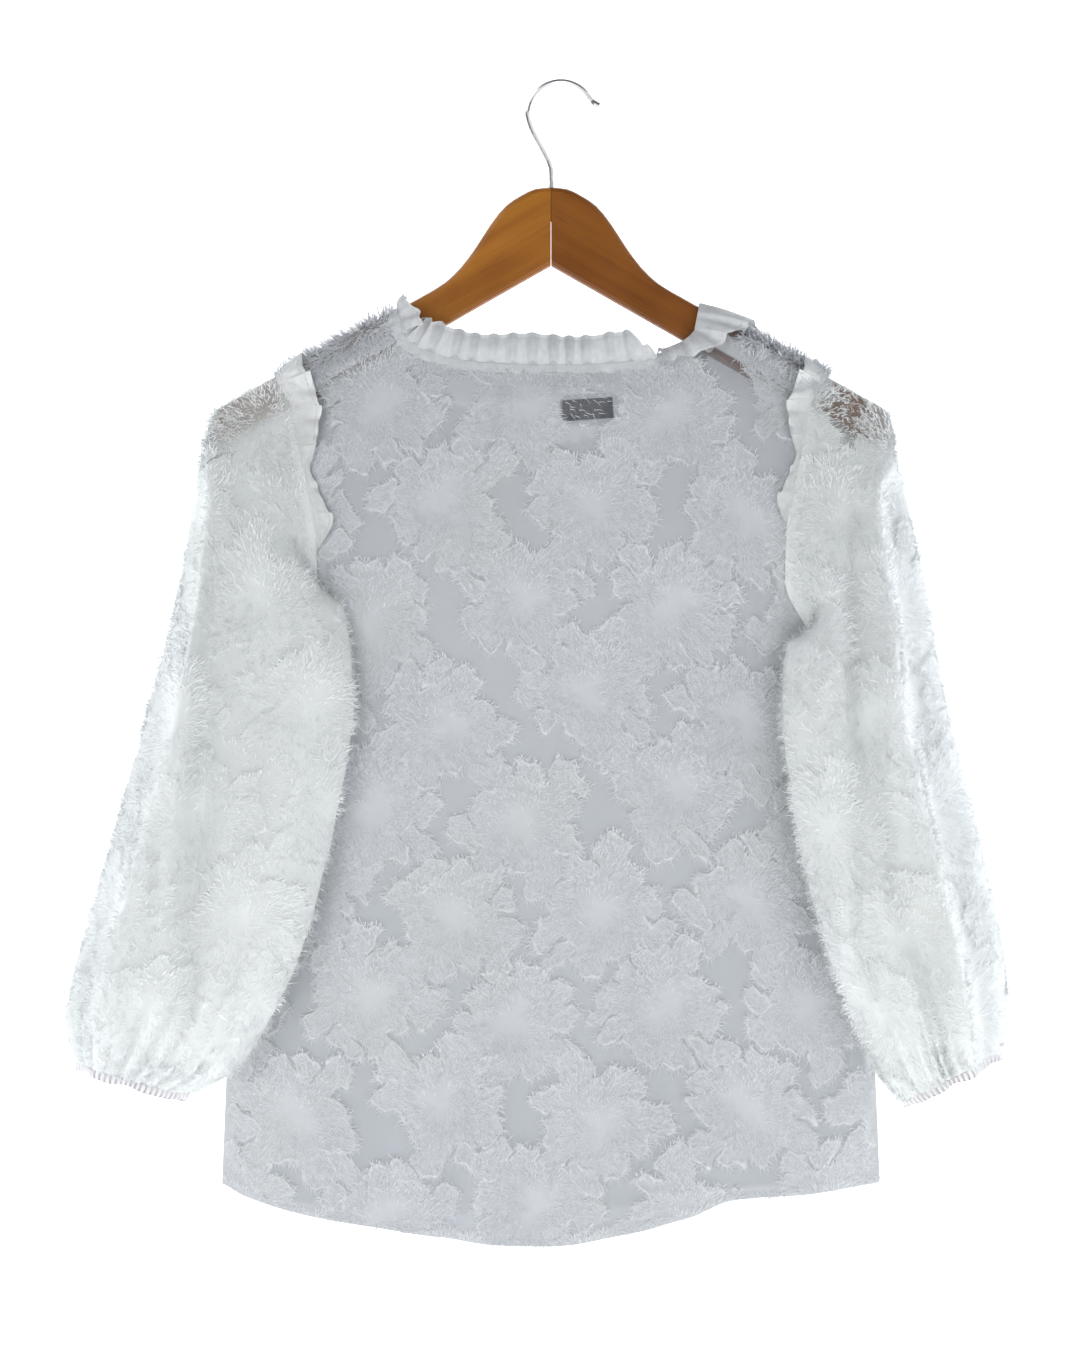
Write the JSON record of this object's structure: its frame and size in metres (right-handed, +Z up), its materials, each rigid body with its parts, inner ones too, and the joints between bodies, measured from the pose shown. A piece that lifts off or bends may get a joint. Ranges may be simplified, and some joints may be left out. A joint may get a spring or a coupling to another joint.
{
  "type": "ruffled long-sleeve blouse on a hanger",
  "caption": "White semi-sheer blouse with ruffled neck and armholes and gathered balloon sleeves, hanging on a flat wooden hanger with a wire hook.",
  "frame": {"origin": "inside top of the hook's bend, where a rail carries it", "axes": "+Z up, -Y out of the blouse's front, +X towards the wearer's left"},
  "size_m": [0.6264, 0.106, 0.7716],
  "materials": {
    "cutwork_cloth": "matte, semi-sheer, with clipped threads",
    "trim": "matte plain weave",
    "label": "satin weave",
    "board": "varnished",
    "wire": "polished"
  },
  "bodies": {
    "root": {"back": "cutwork_cloth", "front": "cutwork_cloth", "sleeve_left": "cutwork_cloth", "sleeve_right": "cutwork_cloth", "cuff_left": "trim", "cuff_right": "trim", "neck_band": "trim", "neck_ruffle": "trim", "armhole_ruffle_left": "trim", "armhole_ruffle_right": "trim", "label": "label", "hanger_arm_left": "board", "hanger_arm_right": "board", "hook": "wire"}
  },
  "joints": []
}
